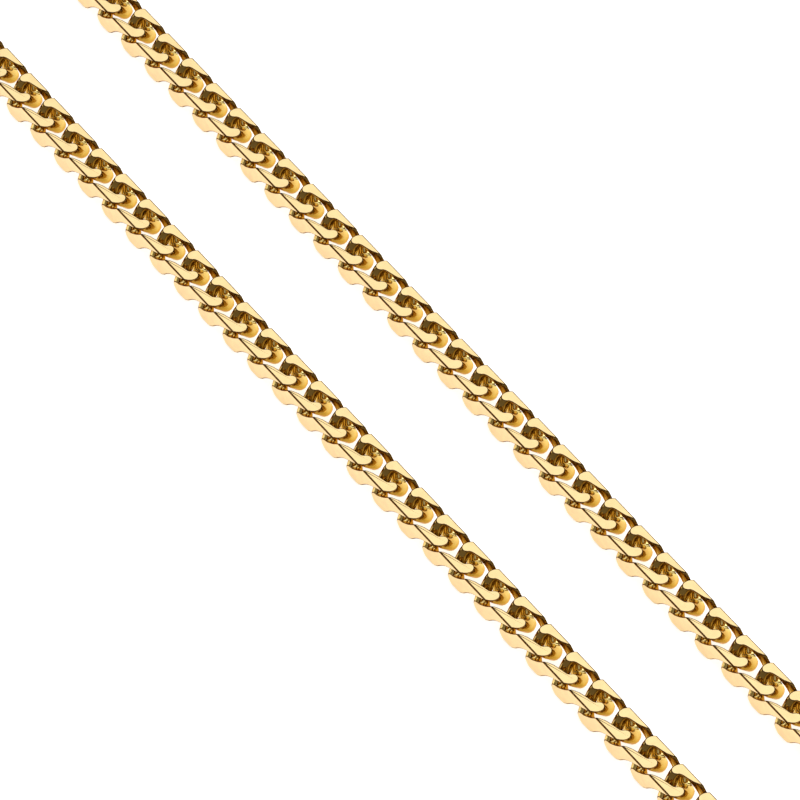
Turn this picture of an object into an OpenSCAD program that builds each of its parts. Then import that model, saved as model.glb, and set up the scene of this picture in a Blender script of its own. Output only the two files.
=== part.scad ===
/* [Chain] */
// Width of the square chain
chain_w = 4.5; // [4.3:0.05:5]
// Height of the chain over its width
height_share = 0.94; // [0.92:0.01:0.96]
// Distance from one link to the next over the chain's width
pitch_share = 1.19; // [1.18:0.005:1.22]
// Thickness of a link's wire at its ends over the chain's width
wire_share = 0.36; // [0.34:0.01:0.37]
// Thickness of a link's wire at the middle of its sides over the chain's width
side_wire_share = 0.58; // [0.54:0.01:0.59]
// Links in the whole necklace
link_count = 100; // [98:2:106]

/* [Link] */
// Half the length of a link's centre line over the chain's width
reach_share = 0.86; // [0.86:0.005:0.875]
// Half the spread of a link before it is cut, over the chain's width
spread_share = 0.65; // [0.64:0.01:0.67]
// Turn of a link's end about the chain, in degrees
end_twist = 50; // [48:1:51]
// How much of that turn comes early, towards the middle of the link
early_twist = 0.45; // [0.3:0.05:0.5]
// How much longer a link is above its middle than below, for each chain width of height
top_stretch = 0.33; // [0.25:0.01:0.35]
// Roll of a link in its section along the straight stretches, in degrees
link_roll = -4; // [-6:1:-2]
// Squareness of a link's ends
end_square = 3.4; // [3.2:0.1:3.6]
// Squareness of a link's sides
side_square = 3; // [2.8:0.1:3.1]
// Rise of a link's centre above mid-height over the chain's width
rise_share = 0.14; // [0.12:0.01:0.15]

/* [Loop] */
// Distance between the middle lines of the two straight runs over the chain's width
run_gap_share = 4.13; // [4:0.01:4.4]
// Radius of the round ends of the loop
end_r = 15.3; // [15:0.1:17]

/* [Clasp] */
// Distance between the two eyes of the clasp
eye_span = 11; // [10:0.5:13]
// Width of the clasp's bar
bar_w = 4.5; // [4:0.1:5]
// Height of the clasp's bar
bar_h = 3.6; // [3:0.1:4.2]
// Bevel round the bar's upper and lower edges
bar_bevel = 0.5; // [0.3:0.1:0.8]
// Thickness of an eye's wire
eye_wire_d = 0.9; // [0.8:0.05:0.95]
// Free space between an eye and the link's wire inside it
eye_play = 0.3; // [0.28:0.01:0.35]

/* [Hidden] */
gold = "#e0b258";

// Sizes in millimetres that follow from the shares above
chain_h = height_share*chain_w;
pitch = pitch_share*chain_w;
end_wire_r = wire_share*chain_w/2;
reach = reach_share*chain_w;
spread = spread_share*chain_w;
rise = rise_share*chain_w;
mid_h = chain_h/2;
run_y = run_gap_share*chain_w/2;
half_count = link_count/2;

// Facets of a link: stations along its ring and corners round its wire
STATIONS = 10;
WIRE_SIDES = 5;
// Points at which the centre line is measured before the stations are spaced evenly
FINE = 90;

// Vector and sign helpers
function unit(v) = v/norm(v);
function signed_pow(v, p) = (v < 0 ? -1 : 1)*pow(abs(v), p);
function turned(v, angle) = [v.x*cos(angle) - v.y*sin(angle), v.x*sin(angle) + v.y*cos(angle)];

// Centre line of one link: an oval along X whose cross direction turns about X from end to end,
// drawn out along X above its middle and in below it
function link_spot(t) =
    let (along = -signed_pow(cos(t), 2/end_square),
         across = spread*signed_pow(sin(t), 2/side_square),
         turn = -end_twist*along*(1 + early_twist*(1 - along*along)))
    [reach*along*(1 + top_stretch*across*sin(turn)/chain_w), across*cos(turn), across*sin(turn)];

// Radius of the wire at a spot of the centre line, thickest at the middle of the link's sides
function wire_r_at(spot) =
    let (endness = min(1, abs(spot.x/reach)))
    chain_w/2*(side_wire_share - (side_wire_share - wire_share)*pow(endness, 3));

// Length along the centre line against the angle, to space the stations evenly
fine_spots = [for (i = [0:FINE]) link_spot(i*360/FINE)];
fine_steps = [for (i = [1:FINE]) norm(fine_spots[i] - fine_spots[i - 1])];
function length_to(i) = i == 0 ? 0 : length_to(i - 1) + fine_steps[i - 1];
length_table = [for (i = [0:FINE]) [length_to(i), i*360/FINE]];
ring_length = length_table[FINE][0];
function station_angle(k) = lookup(k*ring_length/STATIONS, length_table);
function station_dir(k) = unit(link_spot(station_angle(k) + 2) - link_spot(station_angle(k) - 2));

// Corners of the wire round each station, the first one on the side away from the chain's middle
function wire_corners(k) =
    let (spot = link_spot(station_angle(k)),
         dir = station_dir(k),
         out = unit(spot - (spot*dir)*dir),
         side = cross(dir, out),
         radius = wire_r_at(spot))
    [for (j = [0:WIRE_SIDES - 1])
        spot + radius*(cos(360*j/WIRE_SIDES)*out + sin(360*j/WIRE_SIDES)*side)];
ring_points = [for (k = [0:STATIONS - 1]) each wire_corners(k)];
function ring_index(k, j) = (k % STATIONS)*WIRE_SIDES + j % WIRE_SIDES;
ring_faces = [for (k = [0:STATIONS - 1]) for (j = [0:WIRE_SIDES - 1])
    each [[ring_index(k, j), ring_index(k + 1, j + 1), ring_index(k, j + 1)],
          [ring_index(k, j), ring_index(k + 1, j), ring_index(k + 1, j + 1)]]];

// The clasp's own sizes: an eye holds the end wire of a link with play all round
eye_r = end_wire_r + eye_play + eye_wire_d/2;
eye_h = mid_h + rise;
bar_len = eye_span - 2*eye_r;
// Distance between the middles of the first and last links, through the clasp
join_span = eye_span + 2*reach;

// The loop is walked from the clasp's middle: each row has a length and a radius, where
// 0 is straight, a positive radius turns left and a negative one turns right
right_swing = acos((run_y + end_r)/(2*end_r));
left_swing = acos((run_y + end_r - join_span/2)/(2*end_r));
function arc(angle) = angle*PI/180*end_r;
ends_length = 4*arc(right_swing) + arc(180) + 4*arc(left_swing) + arc(180) + join_span;
loop_length = (link_count - 1)*pitch + join_span;
run_length = (loop_length - ends_length)/2;
route = [
    [join_span/2, 0],
    [arc(90 + left_swing), end_r],
    [arc(left_swing), -end_r],
    [run_length, 0],
    [arc(right_swing), -end_r],
    [arc(180 + 2*right_swing), end_r],
    [arc(right_swing), -end_r],
    [run_length, 0],
    [arc(left_swing), -end_r],
    [arc(90 + left_swing), end_r],
    [join_span/2, 0]
];

// Place on the route, as [x, y, heading], after a distance from a start of the same form
function step_on(pose, dist, radius) =
    let (turn = radius == 0 ? 0 : dist/radius*180/PI,
         shift = radius == 0 ? [dist, 0] : [radius*sin(turn), radius*(1 - cos(turn))],
         moved = turned(shift, pose[2]))
    [pose[0] + moved.x, pose[1] + moved.y, pose[2] + turn];
function place_on(dist, row, pose) =
    dist <= route[row][0] || row == len(route) - 1
        ? step_on(pose, dist, route[row][1])
        : place_on(dist - route[row][0], row + 1, step_on(pose, route[row][0], route[row][1]));

// The loop's left end is as far from the origin as its right end
right_reach = end_r*(1 + 2*sin(right_swing));
left_reach = end_r*(1 + 2*sin(left_swing));
clasp_x = -(run_length + left_reach + right_reach)/2;
start_pose = [clasp_x, 0, -90];

// Links keep one roll along the lower run and the opposite one along the upper run, because the
// loop turns them round, and change over along the round ends
roll_ramp = join_span/2 + arc(90 + 2*left_swing);
function roll_share(dist) =
    dist > loop_length/2 ? -roll_share(loop_length - dist)
    : min(1, dist/roll_ramp, (loop_length/2 - dist)/arc(90 + 2*right_swing));

module link() {
    polyhedron(ring_points, ring_faces);
}

// A link, rolled, raised and cut flat on four sides
module cut_link(roll) {
    intersection() {
        translate([0, 0, mid_h + rise]) rotate([roll, 0, 0]) link();
        translate([-1.5*chain_w, -chain_w/2, 0]) cube([3*chain_w, chain_w, chain_h]);
    }
}

// A link spans two joints on the route, half a pitch behind and half a pitch ahead of its middle
module placed_link(number) {
    dist = join_span/2 + number*pitch;
    rear = place_on(dist - pitch/2, 0, start_pose);
    front = place_on(dist + pitch/2, 0, start_pose);
    translate([(rear.x + front.x)/2, (rear.y + front.y)/2, 0])
        rotate([0, 0, atan2(front.y - rear.y, front.x - rear.x)])
            cut_link(link_roll*roll_share(dist));
}

module chain_left() {
    color(gold) for (number = [0:half_count - 1]) placed_link(number);
}

module chain_right() {
    color(gold) for (number = [half_count:link_count - 1]) placed_link(number);
}

// Ring of the clasp, square to the end wire of the link that hangs in it
module eye(turn) {
    rotate([turn, 0, 0]) rotate([90, 0, 0])
        rotate_extrude($fn = 48) translate([eye_r, 0]) circle(d = eye_wire_d, $fn = 24);
}

module bar_half_profile() {
    polygon([[0, 0], [bar_w/2 - bar_bevel, 0], [bar_w/2, bar_bevel], [bar_w/2, bar_h - bar_bevel],
        [bar_w/2 - bar_bevel, bar_h], [0, bar_h]]);
}

module bar_end() {
    rotate_extrude($fn = 48) bar_half_profile();
}

// Closed plain bar with an eye at each end
module clasp() {
    bar_straight = bar_len - bar_w;
    color(gold) translate([clasp_x, 0, 0]) rotate([0, 0, -90]) {
        union() {
            for (side = [-1, 1]) translate([side*bar_straight/2, 0, 0]) bar_end();
            rotate([90, 0, 90]) linear_extrude(bar_straight, center = true) {
                bar_half_profile();
                mirror([1, 0]) bar_half_profile();
            }
            for (side = [-1, 1]) translate([side*eye_span/2, 0, eye_h]) eye(side*end_twist);
        }
    }
}

chain_left();
chain_right();
clasp();
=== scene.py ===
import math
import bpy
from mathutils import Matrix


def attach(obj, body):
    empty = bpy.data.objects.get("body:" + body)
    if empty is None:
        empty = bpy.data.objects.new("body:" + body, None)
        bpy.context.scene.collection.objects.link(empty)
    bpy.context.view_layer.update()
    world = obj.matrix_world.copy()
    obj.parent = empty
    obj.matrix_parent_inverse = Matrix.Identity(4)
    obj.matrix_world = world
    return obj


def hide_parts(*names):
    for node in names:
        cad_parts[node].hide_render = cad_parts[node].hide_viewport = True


bl_info = {
    "name": "Foxtail Chain",
    "version": (1, 0, 0),
    "blender": (4, 5, 0),
    "location": "View3D > Sidebar > Foxtail Chain",
    "description": "Dresses the packed foxtail chain with finely cut links, a clasp and polished gold",
    "category": "Object",
}

import bpy
from bpy.props import (
    EnumProperty,
    FloatProperty,
    FloatVectorProperty,
    IntProperty,
    PointerProperty,
)
from bpy.types import Operator, Panel, PropertyGroup
from mathutils import Matrix, Vector

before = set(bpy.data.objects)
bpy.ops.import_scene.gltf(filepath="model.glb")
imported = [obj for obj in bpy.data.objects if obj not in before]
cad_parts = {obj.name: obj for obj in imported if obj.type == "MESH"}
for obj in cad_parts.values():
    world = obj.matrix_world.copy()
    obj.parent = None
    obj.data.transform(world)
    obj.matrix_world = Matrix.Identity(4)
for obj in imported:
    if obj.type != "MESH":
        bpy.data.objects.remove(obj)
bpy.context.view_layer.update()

MM = 0.001
# Points at which a link's centre line is measured before its stations are spaced evenly
FINE = 360
# Step along the centre line, in degrees, over which its heading is taken
HEADING_STEP = 2
# Lengths in mm that differ by less than this are equal
NEAR = 1e-4
# Corners closer together than this, in mm, are merged, and corners this close to a cut lie on it
MERGE = 0.02
# Edges flatter than these angles, in degrees, are shaded smooth
LINK_SMOOTH_ANGLE = 24
CLASP_SMOOTH_ANGLE = 32
# Material slots of a link
FACET, WIRE, RIM = 0, 1, 2
# Steps of the clasp's eyes, round ends and softened edges
EYE_STATIONS, EYE_SIDES = 40, 16
BAR_END_STEPS, BAR_EDGE_STEPS = 16, 4
# Flat left between the bar's round ends and its middle line, in mm
BAR_END_FLAT = 0.002


class ChainSizes(PropertyGroup):
    """Sizes of the chain in millimetres, and shares of its width."""

    chain_w: FloatProperty(
        name="Width",
        description="Width of the square chain in mm",
        default=4.5,
        min=3.0,
        max=8.0,
    )
    height_share: FloatProperty(
        name="Height share",
        description="Height over width",
        default=0.94,
        min=0.8,
        max=1.0,
    )
    pitch_share: FloatProperty(
        name="Pitch share",
        description="Link spacing over width",
        default=1.19,
        min=1.1,
        max=1.3,
    )
    wire_share: FloatProperty(
        name="End wire share",
        description="Wire thickness at a link's ends over width",
        default=0.36,
        min=0.3,
        max=0.5,
    )
    side_wire_share: FloatProperty(
        name="Side wire share",
        description="Wire thickness at the middle of a link's sides over width",
        default=0.58,
        min=0.4,
        max=0.65,
    )
    link_count: IntProperty(
        name="Links",
        description="Links in the whole necklace",
        default=100,
        min=60,
        max=160,
    )
    run_gap_share: FloatProperty(
        name="Run gap share",
        description="Distance between the two straight runs over width",
        default=4.13,
        min=3.5,
        max=6.0,
    )
    end_r: FloatProperty(
        name="End radius",
        description="Radius of the round ends of the loop in mm",
        default=15.3,
        min=10.0,
        max=30.0,
    )
    stations: IntProperty(
        name="Stations",
        description="Steps along a link's ring",
        default=56,
        min=24,
        max=96,
    )
    wire_sides: IntProperty(
        name="Wire sides",
        description="Sides round a link's wire",
        default=16,
        min=8,
        max=32,
    )
    rim_w: FloatProperty(
        name="Facet rim",
        description="Width of the softened rim round a cut facet in mm",
        default=0.12,
        min=0.01,
        max=0.15,
    )
    rim_drop: FloatProperty(
        name="Rim drop",
        description="How far the rim falls away from its facet in mm",
        default=0.06,
        min=0.005,
        max=0.1,
    )


class LinkShape(PropertyGroup):
    """The twisted oval that a link's wire follows."""

    reach_share: FloatProperty(
        name="Reach share",
        description="Half the length of the centre line over width",
        default=0.86,
    )
    spread_share: FloatProperty(name="Spread share", description="Half the spread over width", default=0.65)
    end_twist: FloatProperty(
        name="End twist",
        description="Turn of a link's end about the chain, in degrees",
        default=50.0,
    )
    early_twist: FloatProperty(
        name="Early twist",
        description="Share of the turn that comes early",
        default=0.45,
    )
    top_stretch: FloatProperty(
        name="Top stretch",
        description="How much longer a link is above its middle, for each width of height",
        default=0.33,
    )
    link_roll: FloatProperty(
        name="Roll",
        description="Roll in the section along the straight runs, in degrees",
        default=-4.0,
    )
    end_square: FloatProperty(
        name="End squareness",
        description="Exponent of the oval along the chain",
        default=3.4,
    )
    side_square: FloatProperty(
        name="Side squareness",
        description="Exponent of the oval across the chain",
        default=3.0,
    )
    rise_share: FloatProperty(
        name="Rise share",
        description="Rise of the centre above mid-height over width",
        default=0.14,
    )


class ClaspSizes(PropertyGroup):
    """Sizes of the plain clasp in millimetres."""

    eye_span: FloatProperty(name="Eye span", description="Distance between the two eyes", default=11.0)
    bar_w: FloatProperty(name="Bar width", description="Width of the bar", default=4.5)
    bar_h: FloatProperty(name="Bar height", description="Height of the bar", default=3.6)
    bar_bevel: FloatProperty(name="Bar bevel", description="Bevel round the bar's edges", default=0.5)
    eye_wire_d: FloatProperty(name="Eye wire", description="Thickness of an eye's wire", default=0.9)
    eye_play: FloatProperty(
        name="Eye play",
        description="Free space round the link's wire in an eye",
        default=0.3,
    )


class GoldFinish(PropertyGroup):
    """Colours and gloss of the gold, with painted shade on the wire and rims and a painted reflection tint on
    the side facets.
    """

    facet_colour: FloatVectorProperty(
        name="Facet colour",
        description="Gold of the cut facets",
        subtype="COLOR",
        size=3,
        default=(0.93, 0.72, 0.37),
    )
    wire_colour: FloatVectorProperty(
        name="Wire colour",
        description="Gold of the round wire",
        subtype="COLOR",
        size=3,
        default=(0.9, 0.72, 0.29),
    )
    # Painted shade: the round wire is darkened to this colour towards the top of a link, next to the top
    # facets
    painted_shade_colour: FloatVectorProperty(
        name="Deep colour",
        description="Gold of the round wire next to the top facets",
        subtype="COLOR",
        size=3,
        default=(0.54, 0.37, 0.12),
    )
    # Painted reflection: the side facets are tinted darker and pinker as if mirroring a warm floor
    painted_reflection_tint: FloatVectorProperty(
        name="Side facet tone",
        description="What the facets' colour is multiplied by on the sides of the chain",
        subtype="COLOR",
        size=3,
        default=(0.92, 0.86, 0.8),
    )
    # Painted shade: the wire is darker where it faces sideways or down
    painted_side_shade: FloatVectorProperty(
        name="Side tone",
        description="What the wire's colour is multiplied by on its sides",
        subtype="COLOR",
        size=3,
        default=(0.74, 0.63, 0.4),
    )
    # Painted shade: the rims are painted near-black brown in place of the dark lines that shade gives at the
    # facets' edges
    painted_rim_shade: FloatVectorProperty(
        name="Rim colour",
        description="Gold of the narrow rims round the facets",
        subtype="COLOR",
        size=3,
        default=(0.12, 0.058, 0.014),
    )
    facet_roughness: FloatProperty(
        name="Facet roughness",
        description="Roughness of the facets",
        default=0.09,
        min=0.0,
        max=1.0,
    )
    wire_roughness: FloatProperty(
        name="Wire roughness",
        description="Roughness of the round wire",
        default=0.1,
        min=0.0,
        max=1.0,
    )
    rim_roughness: FloatProperty(
        name="Rim roughness",
        description="Roughness of the rims",
        default=0.25,
        min=0.0,
        max=1.0,
    )


class StageSettings(PropertyGroup):
    """Floor, light and camera."""

    floor_colour: FloatVectorProperty(
        name="Floor colour",
        description="Pale floor",
        subtype="COLOR",
        size=3,
        default=(0.96, 0.955, 0.95),
    )
    floor_glow: FloatProperty(
        name="Floor glow",
        description="Light that the floor gives off itself",
        default=0.8,
        min=0.0,
    )
    key_power: FloatProperty(
        name="Key light",
        description="Radiance of the large overhead softbox",
        default=0.78,
        min=0.0,
    )
    fill_power: FloatProperty(
        name="Second light",
        description="Radiance of the smaller softboxes",
        default=1.7,
        min=0.0,
    )


def signed_pow(value, power):
    """Power of a number's size with the number's own sign."""
    return math.copysign(abs(value) ** power, value)


class Chain:
    """Sizes that follow from the settings, and the route that the links lie on."""

    def __init__(self, scene):
        sizes, shape, clasp = scene.foxtail_sizes, scene.foxtail_link, scene.foxtail_clasp
        self.sizes, self.shape, self.clasp = sizes, shape, clasp
        self.width = sizes.chain_w
        self.height = sizes.height_share * self.width
        self.pitch = sizes.pitch_share * self.width
        self.end_wire_r = sizes.wire_share * self.width / 2
        self.side_wire_r = sizes.side_wire_share * self.width / 2
        self.reach = shape.reach_share * self.width
        self.spread = shape.spread_share * self.width
        self.mid_h = self.height / 2
        self.rise = shape.rise_share * self.width
        self.run_y = sizes.run_gap_share * self.width / 2
        self.eye_r = self.end_wire_r + clasp.eye_play + clasp.eye_wire_d / 2
        self.bar_len = clasp.eye_span - 2 * self.eye_r
        self.join_span = clasp.eye_span + 2 * self.reach
        self.lay_route()

    def lay_route(self):
        """The loop as rows of length and radius, walked from the clasp's middle."""
        end_r = self.sizes.end_r
        right_swing = math.acos((self.run_y + end_r) / (2 * end_r))
        left_swing = math.acos((self.run_y + end_r - self.join_span / 2) / (2 * end_r))
        ends = end_r * (4 * right_swing + 4 * left_swing + 2 * math.pi) + self.join_span
        self.loop_length = (self.sizes.link_count - 1) * self.pitch + self.join_span
        run = (self.loop_length - ends) / 2
        first = [
            (self.join_span / 2, 0.0),
            (end_r * (math.pi / 2 + left_swing), end_r),
            (end_r * left_swing, -end_r),
            (run, 0.0),
            (end_r * right_swing, -end_r),
        ]
        middle = [(end_r * (math.pi + 2 * right_swing), end_r)]
        self.route = first + middle + first[::-1]
        right_reach = end_r * (1 + 2 * math.sin(right_swing))
        left_reach = end_r * (1 + 2 * math.sin(left_swing))
        self.clasp_x = -(run + left_reach + right_reach) / 2
        self.near_ramp = self.join_span / 2 + end_r * (math.pi / 2 + 2 * left_swing)
        self.far_ramp = end_r * (math.pi / 2 + 2 * right_swing)

    def place_on(self, dist):
        """Point of the route after a distance from the clasp's middle."""
        x, y, heading = self.clasp_x, 0.0, -math.pi / 2
        for row, (length, radius) in enumerate(self.route):
            last = row == len(self.route) - 1
            step = dist if last else min(dist, length)
            if radius == 0.0:
                x += step * math.cos(heading)
                y += step * math.sin(heading)
            else:
                turn = step / radius
                x += radius * (math.sin(heading + turn) - math.sin(heading))
                y -= radius * (math.cos(heading + turn) - math.cos(heading))
                heading += turn
            dist -= step
            if dist <= 0.0:
                break
        return Vector((x, y, 0.0))

    def roll_at(self, dist):
        """Roll of a link: one way along the first run, the other way along the second."""
        half = self.loop_length / 2
        if dist > half:
            return -self.roll_at(self.loop_length - dist)
        return self.shape.link_roll * min(1.0, dist / self.near_ramp, (half - dist) / self.far_ramp)

    def link_spot(self, t):
        """Centre line of one link: an oval along X whose cross direction turns about X from end to end."""
        shape = self.shape
        along = -signed_pow(math.cos(t), 2 / shape.end_square)
        across = self.spread * signed_pow(math.sin(t), 2 / shape.side_square)
        turn = math.radians(-shape.end_twist * along * (1 + shape.early_twist * (1 - along * along)))
        height = across * math.sin(turn)
        stretch = 1 + shape.top_stretch * height / self.width
        return Vector((self.reach * along * stretch, across * math.cos(turn), height))

    def wire_r_at(self, spot):
        """Radius of the wire at a spot of the centre line, thickest at the middle of the link's sides."""
        share = min(1.0, abs(spot.x / self.reach)) ** 3
        return self.side_wire_r + (self.end_wire_r - self.side_wire_r) * share

    def link_angles(self, count):
        """Angles of stations spaced evenly along the centre line."""
        spots = [self.link_spot(2 * math.pi * i / FINE) for i in range(FINE + 1)]
        lengths = [0.0]
        for before, after in zip(spots, spots[1:]):
            lengths.append(lengths[-1] + (after - before).length)
        angles, i = [], 0
        for k in range(count):
            want = lengths[-1] * k / count
            while lengths[i + 1] < want:
                i += 1
            share = (want - lengths[i]) / (lengths[i + 1] - lengths[i])
            angles.append(2 * math.pi * (i + share) / FINE)
        return angles


def select_only(obj):
    """Makes an object the only one selected, and the active one."""
    if bpy.context.object and bpy.context.object.mode != "OBJECT":
        bpy.ops.object.mode_set(mode="OBJECT")
    bpy.ops.object.select_all(action="DESELECT")
    obj.select_set(True)
    bpy.context.view_layer.objects.active = obj


def forge_ring(chain):
    """A torus drawn out to the link's twisted oval, in millimetres round its own middle."""
    stations, sides = chain.sizes.stations, chain.sizes.wire_sides
    major_r = 4 * chain.end_wire_r
    bpy.ops.object.select_all(action="DESELECT")
    bpy.ops.mesh.primitive_torus_add(
        major_segments=stations, minor_segments=sides, major_radius=major_r, minor_radius=chain.end_wire_r
    )
    ring = bpy.context.object
    angles = chain.link_angles(stations)
    step = math.radians(HEADING_STEP)
    for vertex in ring.data.vertices:
        x, y, z = vertex.co
        station = round(math.atan2(y, x) / (2 * math.pi) * stations) % stations
        corner = math.atan2(z, math.hypot(x, y) - major_r)
        spot = chain.link_spot(angles[station])
        ahead, behind = chain.link_spot(angles[station] + step), chain.link_spot(angles[station] - step)
        heading = (ahead - behind).normalized()
        out = (spot - spot.dot(heading) * heading).normalized()
        side = heading.cross(out)
        vertex.co = spot + chain.wire_r_at(spot) * (math.cos(corner) * out + math.sin(corner) * side)
    select_only(ring)
    bpy.ops.object.mode_set(mode="EDIT")
    bpy.ops.mesh.select_all(action="SELECT")
    bpy.ops.mesh.normals_make_consistent(inside=False)
    bpy.ops.object.mode_set(mode="OBJECT")
    return ring


def own_copy(obj, name):
    """A copy of an object with its own mesh."""
    copy = obj.copy()
    copy.data = obj.data.copy()
    copy.name = name
    bpy.context.collection.objects.link(copy)
    return copy


def cut_planes(chain):
    """The four cuts of the chain at the foot of the facets' rims, as a point and an outward normal each."""
    drop = chain.sizes.rim_drop
    half_w = chain.width / 2 - drop
    return [
        (Vector((0, 0, chain.height - drop)), Vector((0, 0, 1))),
        (Vector((0, 0, drop)), Vector((0, 0, -1))),
        (Vector((0, half_w, 0)), Vector((0, 1, 0))),
        (Vector((0, -half_w, 0)), Vector((0, -1, 0))),
    ]


def snap_to_cuts(chain, mesh):
    """Puts the corners that lie just inside a cut on it."""
    for spot, normal in cut_planes(chain):
        for vertex in mesh.vertices:
            depth = (vertex.co - spot).dot(normal)
            if depth > -MERGE:
                vertex.co -= depth * normal


def map_link(chain, mesh):
    """UV map of a piece: U is 0 where it faces down and 1 where it faces up, V is its height from 0 to 1."""
    layer = mesh.uv_layers.active
    for loop in mesh.loops:
        vertex = mesh.vertices[loop.vertex_index]
        layer.data[loop.index].uv = (0.5 + 0.5 * vertex.normal.z, vertex.co.z / chain.height)


def on_cut(chain, points):
    """True if all the points lie on one of the four cuts."""
    return any(
        all(abs((point - spot).dot(normal)) < NEAR for point in points) for spot, normal in cut_planes(chain)
    )


def cut_link(chain, ring, roll):
    """The ring rolled, raised and cut flat on four sides, each facet with a soft rim."""
    link = own_copy(ring, "cut_link")
    link.data.transform(
        Matrix.Translation((0, 0, chain.mid_h + chain.rise)) @ Matrix.Rotation(math.radians(roll), 4, "X")
    )
    select_only(link)
    bpy.ops.object.mode_set(mode="EDIT")
    bpy.ops.mesh.select_mode(type="VERT")
    for spot, normal in cut_planes(chain):
        bpy.ops.mesh.select_all(action="SELECT")
        bpy.ops.mesh.bisect(
            plane_co=spot, plane_no=normal, use_fill=True, clear_outer=True, clear_inner=False, threshold=1e-5
        )
    bpy.ops.mesh.select_all(action="SELECT")
    bpy.ops.mesh.remove_doubles(threshold=MERGE)
    bpy.ops.mesh.select_all(action="DESELECT")
    bpy.ops.mesh.select_mode(type="FACE")
    bpy.ops.object.mode_set(mode="OBJECT")
    mesh = link.data
    snap_to_cuts(chain, mesh)
    for face in mesh.polygons:
        face.select = len(face.vertices) > 4 and on_cut(chain, [mesh.vertices[i].co for i in face.vertices])
    face_count = len(mesh.polygons)
    bpy.ops.object.mode_set(mode="EDIT")
    bpy.ops.mesh.inset(
        thickness=chain.sizes.rim_w, depth=chain.sizes.rim_drop, use_individual=True, use_even_offset=True
    )
    bpy.ops.object.mode_set(mode="OBJECT")
    facets = [face.index for face in mesh.polygons if face.select]
    map_link(chain, mesh)
    select_only(link)
    bpy.ops.object.shade_smooth_by_angle(angle=math.radians(LINK_SMOOTH_ANGLE))
    for name in ("facet_gold", "wire_gold", "rim_gold"):
        mesh.materials.append(bpy.data.materials[name])
    for face in mesh.polygons:
        face.material_index = WIRE if face.index < face_count else RIM
    for index in facets:
        mesh.polygons[index].material_index = FACET
        mesh.polygons[index].use_smooth = False
    return link


def lay_links(chain, first, last, name):
    """Links of one half of the loop, each between its two joints, joined into one piece in metres."""
    ring = forge_ring(chain)
    cut = {}
    links = []
    for number in range(first, last):
        dist = chain.join_span / 2 + number * chain.pitch
        roll = round(chain.roll_at(dist), 4)
        if roll not in cut:
            cut[roll] = cut_link(chain, ring, roll)
        link = own_copy(cut[roll], f"{name}_link")
        rear = chain.place_on(dist - chain.pitch / 2)
        front = chain.place_on(dist + chain.pitch / 2)
        heading = math.atan2(front.y - rear.y, front.x - rear.x)
        link.data.transform(
            Matrix.Scale(MM, 4) @ Matrix.Translation((rear + front) / 2) @ Matrix.Rotation(heading, 4, "Z")
        )
        links.append(link)
    for spare in [ring, *cut.values()]:
        bpy.data.objects.remove(spare)
    select_only(links[0])
    for link in links:
        link.select_set(True)
    bpy.ops.object.join()
    run = bpy.context.object
    run.name = run.data.name = name
    return run


class FinishNodes:
    """Short ways to build a material's nodes."""

    def __init__(self, name):
        self.material = bpy.data.materials.new(name)
        self.material.use_nodes = True
        self.tree = self.material.node_tree
        self.shader = self.tree.nodes["Principled BSDF"]
        texture = self.add("ShaderNodeTexCoord")
        self.coords = texture.outputs["Object"]
        self.map = texture.outputs["UV"]

    def add(self, kind):
        return self.tree.nodes.new(kind)

    def link(self, output, target):
        self.tree.links.new(output, target)

    def noise(self, scale, detail=3.0, stretch=None):
        """Noise over the object's own coordinates, stretched where a size per axis is given."""
        node = self.add("ShaderNodeTexNoise")
        node.inputs["Scale"].default_value = scale
        node.inputs["Detail"].default_value = detail
        source = self.coords
        if stretch:
            mapping = self.add("ShaderNodeMapping")
            mapping.inputs["Scale"].default_value = stretch
            self.link(source, mapping.inputs["Vector"])
            source = mapping.outputs["Vector"]
        self.link(source, node.inputs["Vector"])
        return node.outputs["Fac"]

    def ramp(self, source, low, high, low_at=0.35, high_at=0.65):
        """A ramp of two colours, or of two greys, over a source."""
        node = self.add("ShaderNodeValToRGB")
        as_colour = lambda c: (*c, 1.0) if hasattr(c, "__len__") else (c, c, c, 1.0)
        node.color_ramp.elements[0].position = low_at
        node.color_ramp.elements[0].color = as_colour(low)
        node.color_ramp.elements[1].position = high_at
        node.color_ramp.elements[1].color = as_colour(high)
        self.link(source, node.inputs["Fac"])
        return node.outputs["Color"]

    def facing_and_height(self):
        """How far a link's surface faces up, and its height, from its UV map."""
        node = self.add("ShaderNodeSeparateXYZ")
        self.link(self.map, node.inputs["Vector"])
        return node.outputs["X"], node.outputs["Y"]

    def times(self, first, second):
        """One colour multiplied by another."""
        node = self.add("ShaderNodeMix")
        node.data_type = "RGBA"
        node.blend_type = "MULTIPLY"
        node.inputs["Factor"].default_value = 1.0
        self.link(first, node.inputs[6])
        self.link(second, node.inputs[7])
        return node.outputs[2]

    def bump(self, source, depth):
        """A shallow bump, its depth in metres."""
        node = self.add("ShaderNodeBump")
        node.inputs["Strength"].default_value = 1.0
        node.inputs["Distance"].default_value = depth
        self.link(source, node.inputs["Height"])
        return node.outputs["Normal"]


# Ranges of a link's UV map over which painted shade and painted reflection change: the wire's painted shade
# up its height and round it, and the facets' painted reflection tint from side to top facets
WIRE_SHADE_HEIGHTS = (0.45, 0.95)
WIRE_SIDE_SHADE_FACING = (0.5, 0.8)
FACET_REFLECTION_FACING = (0.75, 0.9)
# Depths of the facets' cutting lines and of the wire's unevenness, in metres
LINE_DEPTH = 1.2e-7
WAVE_DEPTH = 6e-7
# Edge tints that keep grazing reflections golden
WIRE_EDGE = (0.8, 0.58, 0.36, 1.0)
RIM_EDGE = (0.5, 0.32, 0.16, 1.0)


def shaded(colour, factor):
    """A colour made lighter or darker."""
    return tuple(min(1.0, c * factor) for c in colour)


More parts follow.
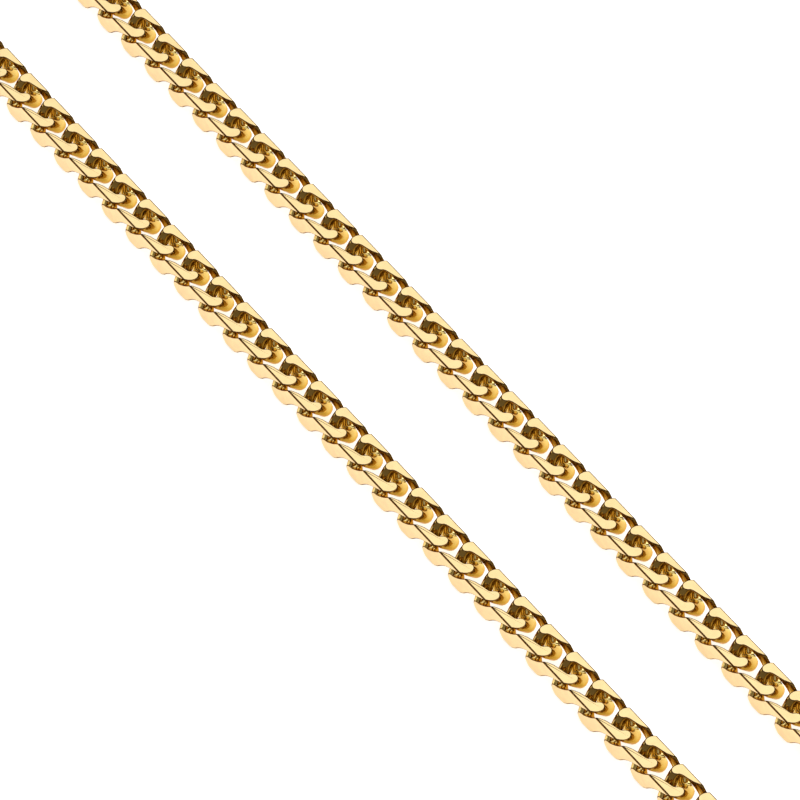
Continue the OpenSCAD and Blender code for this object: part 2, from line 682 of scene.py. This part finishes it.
def facet_gold(finish):
    """Polished flat cuts: pale gold, faint drifts of tone, hair-fine cutting lines along the chain."""
    nodes = FinishNodes("facet_gold")
    shader = nodes.shader
    shader.inputs["Metallic"].default_value = 1.0
    tone = nodes.noise(900.0, 3.0)
    colour = nodes.ramp(tone, shaded(finish.facet_colour, 0.96), shaded(finish.facet_colour, 1.03))
    facing, _ = nodes.facing_and_height()
    # Painted reflection: facets that face sideways or down get a darker, pinker tint than the top facets
    sides = nodes.ramp(facing, finish.painted_reflection_tint, 1.0, *FACET_REFLECTION_FACING)
    nodes.link(nodes.times(colour, sides), shader.inputs["Base Color"])
    rough = nodes.noise(2600.0, 4.0)
    level = finish.facet_roughness
    nodes.link(nodes.ramp(rough, level * 0.7, level * 1.4), shader.inputs["Roughness"])
    lines = nodes.noise(9000.0, 2.0, stretch=(0.05, 1.0, 1.0))
    nodes.link(nodes.bump(lines, LINE_DEPTH), shader.inputs["Normal"])
    return nodes.material


def wire_gold(finish):
    """Polished round wire: deeper gold, with painted shade darkening it near the facets and on its sides,
    slightly uneven.
    """
    nodes = FinishNodes("wire_gold")
    shader = nodes.shader
    shader.inputs["Metallic"].default_value = 1.0
    tone = nodes.noise(1100.0, 4.0)
    facing, height = nodes.facing_and_height()
    # Painted shade: the wire's gold darkens up its height towards the top facets
    colour = nodes.ramp(height, finish.wire_colour, finish.painted_shade_colour, *WIRE_SHADE_HEIGHTS)
    # Painted shade: darker where the wire faces sideways or down
    colour = nodes.times(colour, nodes.ramp(facing, finish.painted_side_shade, 1.0, *WIRE_SIDE_SHADE_FACING))
    nodes.link(nodes.times(colour, nodes.ramp(tone, 0.88, 1.0)), shader.inputs["Base Color"])
    rough = nodes.noise(3000.0, 5.0)
    level = finish.wire_roughness
    nodes.link(nodes.ramp(rough, level * 0.6, level * 1.6), shader.inputs["Roughness"])
    shader.inputs["Specular Tint"].default_value = WIRE_EDGE
    waves = nodes.noise(1500.0, 2.0)
    nodes.link(nodes.bump(waves, WAVE_DEPTH), shader.inputs["Normal"])
    return nodes.material


def rim_gold(finish):
    """Rims between the facets and the round wire: dark with painted shade, and duller than either."""
    nodes = FinishNodes("rim_gold")
    shader = nodes.shader
    shader.inputs["Metallic"].default_value = 1.0
    tone = nodes.noise(1400.0, 3.0)
    # Painted shade: the rims' near-black brown stands in for the dark lines of shade at the facets' edges
    nodes.link(
        nodes.ramp(tone, shaded(finish.painted_rim_shade, 0.8), shaded(finish.painted_rim_shade, 1.2)),
        shader.inputs["Base Color"],
    )
    rough = nodes.noise(3000.0, 3.0)
    level = finish.rim_roughness
    nodes.link(nodes.ramp(rough, level * 0.8, level * 1.2), shader.inputs["Roughness"])
    shader.inputs["Specular Tint"].default_value = RIM_EDGE
    return nodes.material


def settle(piece, node):
    """Lets a finished piece ride on the part's body in place of its CAD node."""
    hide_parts(node)
    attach(piece, "root")


class FOXTAIL_OT_materials(Operator):
    """Makes the gold of the facets, of their rims and of the round wire"""

    bl_idname = "foxtail.materials"
    bl_label = "Gold Finishes"

    def execute(self, context):
        finish = context.scene.foxtail_finish
        facet_gold(finish)
        wire_gold(finish)
        rim_gold(finish)
        return {"FINISHED"}


class FOXTAIL_OT_links(Operator):
    """Lays one half of the loop's cut links"""

    bl_idname = "foxtail.links"
    bl_label = "Chain Links"

    half: EnumProperty(
        name="Half",
        description="Which half of the loop",
        items=[
            ("LEFT", "First half", "From the clasp along the first run"),
            ("RIGHT", "Second half", "Back to the clasp"),
        ],
        default="LEFT",
    )

    def execute(self, context):
        chain = Chain(context.scene)
        middle = chain.sizes.link_count // 2
        first, last = (0, middle) if self.half == "LEFT" else (middle, chain.sizes.link_count)
        node = "chain_left" if self.half == "LEFT" else "chain_right"
        name = "links_left" if self.half == "LEFT" else "links_right"
        run = lay_links(chain, first, last, name)
        settle(run, node)
        return {"FINISHED"}


def clasp_bar(chain):
    """The bar: a block with round ends and softened upper and lower edges."""
    clasp = chain.clasp
    bpy.ops.object.select_all(action="DESELECT")
    bpy.ops.mesh.primitive_cube_add(size=1.0)
    bar = bpy.context.object
    bar.data.transform(Matrix.Diagonal((chain.bar_len, clasp.bar_w, clasp.bar_h, 1.0)))
    bar.data.transform(Matrix.Translation((0, 0, clasp.bar_h / 2)))
    select_only(bar)
    for edge in bar.data.edges:
        ends = [bar.data.vertices[i].co for i in edge.vertices]
        edge.select = abs(ends[0].z - ends[1].z) > NEAR
    for face in bar.data.polygons:
        face.select = False
    bpy.ops.object.mode_set(mode="EDIT")
    bpy.ops.mesh.select_mode(type="EDGE")
    bpy.ops.mesh.bevel(offset=clasp.bar_w / 2 - BAR_END_FLAT, segments=BAR_END_STEPS, affect="EDGES")
    bpy.ops.mesh.select_all(action="SELECT")
    bpy.ops.mesh.remove_doubles(threshold=0.01)
    bpy.ops.mesh.select_all(action="DESELECT")
    bpy.ops.object.mode_set(mode="OBJECT")
    for edge in bar.data.edges:
        ends = [bar.data.vertices[i].co for i in edge.vertices]
        edge.select = abs(ends[0].z - ends[1].z) < NEAR and (
            all(abs(e.z) < NEAR for e in ends) or all(abs(e.z - clasp.bar_h) < NEAR for e in ends)
        )
    bpy.ops.object.mode_set(mode="EDIT")
    bpy.ops.mesh.bevel(offset=clasp.bar_bevel, segments=BAR_EDGE_STEPS, profile=0.6, affect="EDGES")
    bpy.ops.object.mode_set(mode="OBJECT")
    return bar


class FOXTAIL_OT_clasp(Operator):
    """Models the plain clasp: a bar with an eye at each end"""

    bl_idname = "foxtail.clasp"
    bl_label = "Clasp"

    def execute(self, context):
        chain = Chain(context.scene)
        clasp = chain.clasp
        bar = clasp_bar(chain)
        parts = [bar]
        for side in (-1, 1):
            bpy.ops.object.select_all(action="DESELECT")
            bpy.ops.mesh.primitive_torus_add(
                major_segments=EYE_STATIONS,
                minor_segments=EYE_SIDES,
                major_radius=chain.eye_r,
                minor_radius=clasp.eye_wire_d / 2,
            )
            eye = bpy.context.object
            eye.data.transform(
                Matrix.Translation((side * clasp.eye_span / 2, 0, chain.mid_h + chain.rise))
                @ Matrix.Rotation(math.radians(side * chain.shape.end_twist), 4, "X")
                @ Matrix.Rotation(math.radians(90), 4, "X")
            )
            parts.append(eye)
        select_only(bar)
        for part in parts:
            part.select_set(True)
        bpy.ops.object.join()
        piece = bpy.context.object
        piece.name = piece.data.name = "clasp_bar"
        map_link(chain, piece.data)
        piece.data.transform(
            Matrix.Scale(MM, 4)
            @ Matrix.Translation((chain.clasp_x, 0, 0))
            @ Matrix.Rotation(-math.pi / 2, 4, "Z")
        )
        select_only(piece)
        bpy.ops.object.shade_smooth_by_angle(angle=math.radians(CLASP_SMOOTH_ANGLE))
        piece.data.materials.clear()
        piece.data.materials.append(bpy.data.materials["wire_gold"])
        settle(piece, "clasp")
        return {"FINISHED"}


# Width of the floor and how far it lies below the chain, in metres
FLOOR_SIZE = 6.0
FLOOR_DROP = 0.00002
# Colours of the surroundings up to SKY_FROM of the way up, and straight above
SKY_FROM = 0.6
SKY_LOW = (0.22, 0.18, 0.12, 1.0)
SKY_HIGH = (0.6, 0.57, 0.53, 1.0)
# Softboxes: name, direction from the chain, distance and size in metres, setting and share of its radiance
SOFTBOXES = (
    ("key_softbox", (-0.4857, 0.3693, 0.7922), 1.6, (1.1, 1.1), "key_power", 1.0),
    ("right_softbox", (0.45, 0.33, 0.8), 1.6, (1.0, 1.0), "fill_power", 1.0),
    ("left_softbox", (-0.95, -0.3, 0.22), 1.8, (1.0, 0.5), "fill_power", 0.6),
    ("back_softbox", (-0.45, 0.85, 0.3), 1.8, (1.0, 0.3), "fill_power", 1.0),
    ("end_softbox", (0.85, 0.37, 0.28), 1.8, (0.6, 0.45), "fill_power", 1.2),
    ("front_softbox", (-0.2, -0.93, 0.2), 1.8, (1.0, 0.3), "fill_power", 0.8),
)


def add_floor(stage):
    """A wide pale floor just under the chain."""
    bpy.ops.object.select_all(action="DESELECT")
    bpy.ops.mesh.primitive_plane_add(size=FLOOR_SIZE, location=(0, 0, -FLOOR_DROP))
    floor = bpy.context.object
    floor.name = "floor"
    material = bpy.data.materials.new("pale_floor")
    material.use_nodes = True
    shader = material.node_tree.nodes["Principled BSDF"]
    shader.inputs["Base Color"].default_value = (*stage.floor_colour, 1.0)
    shader.inputs["Roughness"].default_value = 0.9
    shader.inputs["Specular IOR Level"].default_value = 0.1
    shader.inputs["Emission Color"].default_value = (1.0, 1.0, 1.0, 1.0)
    shader.inputs["Emission Strength"].default_value = stage.floor_glow
    floor.data.materials.append(material)


def add_softbox(name, direction, distance, size, power):
    """An area light facing the chain from a direction; its power is a radiance."""
    data = bpy.data.lights.new(name, "AREA")
    data.shape = "RECTANGLE"
    data.size, data.size_y = size
    data.energy = power * size[0] * size[1] * math.pi
    light = bpy.data.objects.new(name, data)
    way = Vector(direction).normalized()
    light.location = way * distance
    light.rotation_mode = "QUATERNION"
    light.rotation_quaternion = way.to_track_quat("Z", "Y")
    bpy.context.collection.objects.link(light)


def add_world():
    """Surroundings: soft grey above, brown towards the horizon, so that the gold keeps its depth."""
    world = bpy.data.worlds.new("studio")
    bpy.context.scene.world = world
    world.use_nodes = True
    tree = world.node_tree
    background = tree.nodes["Background"]
    coords = tree.nodes.new("ShaderNodeTexCoord")
    split = tree.nodes.new("ShaderNodeSeparateXYZ")
    ramp = tree.nodes.new("ShaderNodeValToRGB")
    ramp.color_ramp.interpolation = "EASE"
    low, high = ramp.color_ramp.elements
    low.position, low.color = SKY_FROM, SKY_LOW
    high.position, high.color = 1.0, SKY_HIGH
    tree.links.new(coords.outputs["Generated"], split.inputs["Vector"])
    tree.links.new(split.outputs["Z"], ramp.inputs["Fac"])
    tree.links.new(ramp.outputs["Color"], background.inputs["Color"])
    background.inputs["Strength"].default_value = 1.0


# The camera of the photograph: place in metres, angles in degrees, lens in mm
CAMERA_PLACE = (0.51377, -0.38486, 0.82750)
CAMERA_TURN = 52.753
CAMERA_TILT = 37.613
CAMERA_ROLL = 0.3045
CAMERA_LENS = 365.3


def add_camera():
    """Camera at the photograph's angle, with a long lens."""
    turn, tilt = math.radians(CAMERA_TURN), math.radians(CAMERA_TILT)
    back = Vector((math.sin(turn) * math.sin(tilt), -math.cos(turn) * math.sin(tilt), math.cos(tilt)))
    right = Vector((math.cos(turn), math.sin(turn), 0.0))
    up = back.cross(right)
    roll = math.radians(CAMERA_ROLL)
    right, up = right * math.cos(roll) + up * math.sin(roll), up * math.cos(roll) - right * math.sin(roll)
    data = bpy.data.cameras.new("camera")
    data.sensor_width = 36.0
    data.lens = CAMERA_LENS
    data.clip_start, data.clip_end = 0.05, 20.0
    camera = bpy.data.objects.new("camera", data)
    camera.matrix_world = Matrix.Translation(CAMERA_PLACE) @ Matrix((right, up, back)).transposed().to_4x4()
    bpy.context.collection.objects.link(camera)
    bpy.context.scene.camera = camera


class FOXTAIL_OT_stage(Operator):
    """Sets the floor, the soft light and the camera"""

    bl_idname = "foxtail.stage"
    bl_label = "Stage"

    def execute(self, context):
        stage = context.scene.foxtail_stage
        add_floor(stage)
        add_world()
        powers = {"key_power": stage.key_power, "fill_power": stage.fill_power}
        for name, direction, distance, size, setting, share in SOFTBOXES:
            add_softbox(name, direction, distance, size, share * powers[setting])
        add_camera()
        context.scene.view_settings.view_transform = "Standard"
        return {"FINISHED"}


class FOXTAIL_PT_sidebar(Panel):
    """Shows the chain's settings and the buttons that make its pieces"""

    bl_idname = "FOXTAIL_PT_sidebar"
    bl_label = "Foxtail Chain"
    bl_space_type = "VIEW_3D"
    bl_region_type = "UI"
    bl_category = "Foxtail Chain"

    def draw(self, context):
        scene, layout = context.scene, self.layout
        groups = (
            scene.foxtail_sizes,
            scene.foxtail_link,
            scene.foxtail_clasp,
            scene.foxtail_finish,
            scene.foxtail_stage,
        )
        for settings in groups:
            column = layout.column()
            for name in settings.__annotations__:
                column.prop(settings, name)
        for operator in (FOXTAIL_OT_materials, FOXTAIL_OT_links, FOXTAIL_OT_clasp, FOXTAIL_OT_stage):
            layout.operator(operator.bl_idname)


CLASSES = (
    ChainSizes,
    LinkShape,
    ClaspSizes,
    GoldFinish,
    StageSettings,
    FOXTAIL_OT_materials,
    FOXTAIL_OT_links,
    FOXTAIL_OT_clasp,
    FOXTAIL_OT_stage,
    FOXTAIL_PT_sidebar,
)


def register():
    for cls in CLASSES:
        bpy.utils.register_class(cls)
    bpy.types.Scene.foxtail_sizes = PointerProperty(type=ChainSizes)
    bpy.types.Scene.foxtail_link = PointerProperty(type=LinkShape)
    bpy.types.Scene.foxtail_clasp = PointerProperty(type=ClaspSizes)
    bpy.types.Scene.foxtail_finish = PointerProperty(type=GoldFinish)
    bpy.types.Scene.foxtail_stage = PointerProperty(type=StageSettings)


def unregister():
    for name in ("foxtail_stage", "foxtail_finish", "foxtail_clasp", "foxtail_link", "foxtail_sizes"):
        delattr(bpy.types.Scene, name)
    for cls in reversed(CLASSES):
        bpy.utils.unregister_class(cls)


def main():
    """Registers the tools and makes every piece."""
    register()
    bpy.ops.foxtail.materials()
    bpy.ops.foxtail.links(half="LEFT")
    bpy.ops.foxtail.links(half="RIGHT")
    bpy.ops.foxtail.clasp()
    bpy.ops.foxtail.stage()


if __name__ == "__main__":
    main()
